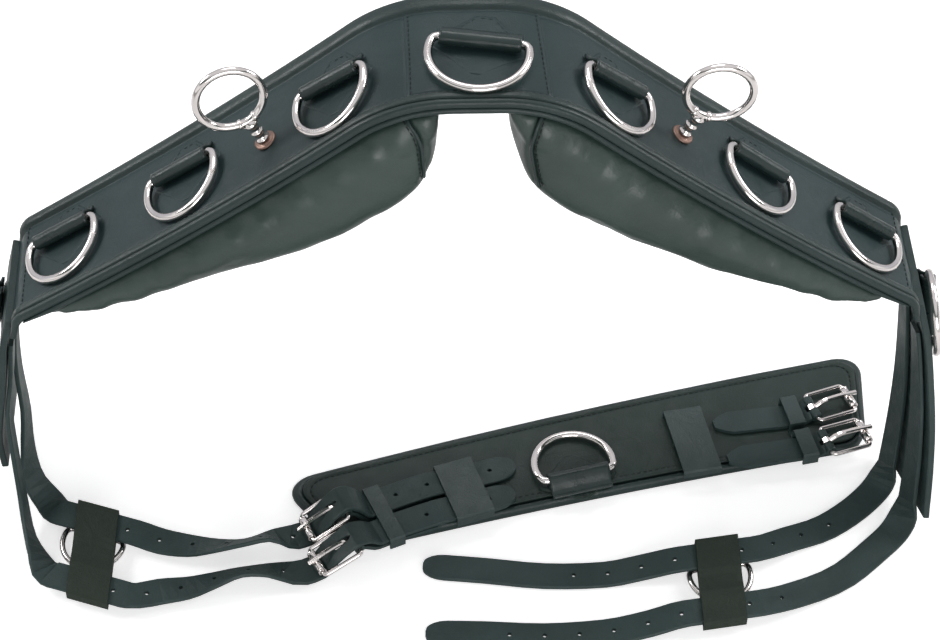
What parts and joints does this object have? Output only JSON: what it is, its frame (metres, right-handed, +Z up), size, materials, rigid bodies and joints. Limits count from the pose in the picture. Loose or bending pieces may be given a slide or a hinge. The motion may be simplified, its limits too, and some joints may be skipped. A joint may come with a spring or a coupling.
{
  "type": "lunging surcingle",
  "caption": "Padded leather roller standing as an arch, with swinging D-rings, upright ring terrets, side flaps with billets and a girth with roller buckles.",
  "frame": {"origin": "on the ground, under the middle of the bounding box of the whole layout", "axes": "+X along the arch from the fastened end of the girth to the open end, +Y towards the back edge of the body, +Z up"},
  "size_m": [0.695, 0.264, 0.3969],
  "materials": {
    "leather": "waxed black strap leather",
    "soft_leather": "soft black panel leather, stuffed",
    "keeper_leather": "matt olive-black leather",
    "nickel": "bright nickel plate"
  },
  "bodies": {
    "harness": {"body_band": "leather", "body_lining": "soft_leather", "centre_chape": "leather", "girth_chape": "leather", "girth_facing": "leather", "girth_pad": "soft_leather", "left_back_billet": "leather", "left_back_buckle_frame": "nickel", "left_back_chape_strap": "leather", "left_back_tongue": "nickel", "left_body_1_chape": "leather", "left_body_2_chape": "leather", "left_body_3_chape": "leather", "left_flap": "leather", "left_flap_chape": "leather", "left_front_billet": "leather", "left_front_buckle_frame": "nickel", "left_front_chape_strap": "leather", "left_front_tongue": "nickel", "left_pad": "soft_leather", "left_small_loops": "leather", "left_terret_base": "nickel", "left_wide_loop": "leather", "right_back_billet": "leather", "right_back_chape_strap": "leather", "right_body_1_chape": "leather", "right_body_2_chape": "leather", "right_body_3_chape": "leather", "right_flap": "leather", "right_flap_chape": "leather", "right_front_billet": "leather", "right_front_chape_strap": "leather", "right_pad": "soft_leather", "right_small_loops": "leather", "right_terret_base": "nickel", "right_wide_loop": "leather"},
    "centre_ring": {"centre_ring": "nickel"},
    "girth_ring": {"girth_ring": "nickel"},
    "left_body_1_ring": {"left_body_1_ring": "nickel"},
    "left_body_2_ring": {"left_body_2_ring": "nickel"},
    "left_body_3_ring": {"left_body_3_ring": "nickel"},
    "left_flap_ring": {"left_flap_ring": "nickel"},
    "left_terret_ring": {"left_terret_ring": "nickel"},
    "right_body_1_ring": {"right_body_1_ring": "nickel"},
    "right_body_2_ring": {"right_body_2_ring": "nickel"},
    "right_body_3_ring": {"right_body_3_ring": "nickel"},
    "right_flap_ring": {"right_flap_ring": "nickel"},
    "right_terret_ring": {"right_terret_ring": "nickel"},
    "left_sliding_keeper": {"left_sliding_keeper": "keeper_leather"},
    "left_keeper_ring": {"left_keeper_ring": "nickel"},
    "left_back_roller": {"left_back_roller": "nickel"},
    "left_front_roller": {"left_front_roller": "nickel"},
    "right_sliding_keeper": {"right_sliding_keeper": "keeper_leather"},
    "right_keeper_ring": {"right_keeper_ring": "nickel"},
    "right_back_buckle_frame": {"right_back_buckle_frame": "nickel"},
    "right_back_tongue": {"right_back_tongue": "nickel"},
    "right_back_roller": {"right_back_roller": "nickel"},
    "right_front_buckle_frame": {"right_front_buckle_frame": "nickel"},
    "right_front_tongue": {"right_front_tongue": "nickel"},
    "right_front_roller": {"right_front_roller": "nickel"}
  },
  "joints": [
    {"name": "centre_ring_swing", "type": "hinge", "parent": "harness", "child": "centre_ring", "pos_m": [0.0059, 0.0795, 0.3917], "axis": [-0.9848, 0.1736, 0], "range_deg": [0, 165]},
    {"name": "girth_ring_swing", "type": "hinge", "parent": "harness", "child": "girth_ring", "pos_m": [0.08477, 0.01339, 0.017], "axis": [0.972, 0.2352, 0], "range_deg": [0, 165]},
    {"name": "left_body_1_ring_swing", "type": "hinge", "parent": "harness", "child": "left_body_1_ring", "pos_m": [-0.09275, 0.08, 0.35818], "axis": [-0.7591, 0.1045, -0.6425], "range_deg": [0, 165]},
    {"name": "left_body_2_ring_swing", "type": "hinge", "parent": "harness", "child": "left_body_2_ring", "pos_m": [-0.19605, 0.0848, 0.27492], "axis": [-0.7929, 0.0349, -0.6083], "range_deg": [0, 165]},
    {"name": "left_body_3_ring_swing", "type": "hinge", "parent": "harness", "child": "left_body_3_ring", "pos_m": [-0.28278, 0.088, 0.21103], "axis": [-0.8164, 0.0175, -0.5772], "range_deg": [0, 165]},
    {"name": "left_flap_ring_swing", "type": "hinge", "parent": "harness", "child": "left_flap_ring", "pos_m": [-0.33845, 0.07842, 0.13664], "axis": [-0.1719, -0.0237, -0.9848], "range_deg": [0, 165]},
    {"name": "left_terret_swivel", "type": "hinge", "parent": "harness", "child": "left_terret_ring", "pos_m": [-0.13657, 0.0687, 0.31401], "axis": [-0.4994, 0, 0.8664], "continuous": true},
    {"name": "right_body_1_ring_swing", "type": "hinge", "parent": "harness", "child": "right_body_1_ring", "pos_m": [0.09837, 0.08, 0.35496], "axis": [-0.7603, -0.1045, 0.6411], "range_deg": [0, 165]},
    {"name": "right_body_2_ring_swing", "type": "hinge", "parent": "harness", "child": "right_body_2_ring", "pos_m": [0.2026, 0.0842, 0.27129], "axis": [-0.7943, 0.0349, 0.6066], "range_deg": [0, 165]},
    {"name": "right_body_3_ring_swing", "type": "hinge", "parent": "harness", "child": "right_body_3_ring", "pos_m": [0.28458, 0.084, 0.21103], "axis": [-0.8161, 0.0349, 0.5769], "range_deg": [0, 165]},
    {"name": "right_flap_ring_swing", "type": "hinge", "parent": "harness", "child": "right_flap_ring", "pos_m": [0.3393, 0.06983, 0.13624], "axis": [-0.1382, 0.3425, 0.9293], "range_deg": [0, 165]},
    {"name": "right_terret_swivel", "type": "hinge", "parent": "harness", "child": "right_terret_ring", "pos_m": [0.14382, 0.0727, 0.30961], "axis": [0.4972, 0, 0.8676], "continuous": true},
    {"name": "left_keeper_slide", "type": "slide", "parent": "harness", "child": "left_sliding_keeper", "axis": [0.9397, -0.342, 0], "range_m": [-0.005, 0.005]},
    {"name": "left_keeper_ring_swing", "type": "hinge", "parent": "left_sliding_keeper", "child": "left_keeper_ring", "pos_m": [-0.2705, -0.02353, 0.0044], "axis": [0.9397, -0.342, 0], "range_deg": [0, 150]},
    {"name": "left_back_roller_spin", "type": "hinge", "parent": "harness", "child": "left_back_roller", "pos_m": [-0.11655, -0.02793, 0.0125], "axis": [0.3692, -0.9294, 0], "continuous": true},
    {"name": "left_front_roller_spin", "type": "hinge", "parent": "harness", "child": "left_front_roller", "pos_m": [-0.10974, -0.05904, 0.0125], "axis": [0.4415, -0.8973, 0], "continuous": true},
    {"name": "right_keeper_slide", "type": "slide", "parent": "harness", "child": "right_sliding_keeper", "axis": [0.9903, 0.1392, 0], "range_m": [-0.005, 0.005]},
    {"name": "right_keeper_ring_swing", "type": "hinge", "parent": "right_sliding_keeper", "child": "right_keeper_ring", "pos_m": [0.1817, -0.065, 0.0044], "axis": [0.9903, 0.1392, 0], "range_deg": [0, 150]},
    {"name": "right_back_buckle_turn", "type": "hinge", "parent": "harness", "child": "right_back_buckle_frame", "pos_m": [0.26791, 0.07413, 0.0146], "axis": [0.335, -0.9422, 0], "range_deg": [0, 80]},
    {"name": "right_back_tongue_lift", "type": "hinge", "parent": "right_back_buckle_frame", "child": "right_back_tongue", "pos_m": [0.26791, 0.07413, 0.0146], "axis": [0.335, -0.9422, 0], "range_deg": [0, 35]},
    {"name": "right_back_roller_spin", "type": "hinge", "parent": "right_back_buckle_frame", "child": "right_back_roller", "pos_m": [0.29758, 0.08468, 0.0139], "axis": [-0.335, 0.9422, 0], "continuous": true},
    {"name": "right_front_buckle_turn", "type": "hinge", "parent": "harness", "child": "right_front_buckle_frame", "pos_m": [0.27447, 0.04135, 0.0146], "axis": [0.3028, -0.953, 0], "range_deg": [0, 80]},
    {"name": "right_front_tongue_lift", "type": "hinge", "parent": "right_front_buckle_frame", "child": "right_front_tongue", "pos_m": [0.27447, 0.04135, 0.0146], "axis": [0.3028, -0.953, 0], "range_deg": [0, 35]},
    {"name": "right_front_roller_spin", "type": "hinge", "parent": "right_front_buckle_frame", "child": "right_front_roller", "pos_m": [0.30449, 0.05088, 0.0139], "axis": [-0.3028, 0.953, 0], "continuous": true}
  ]
}
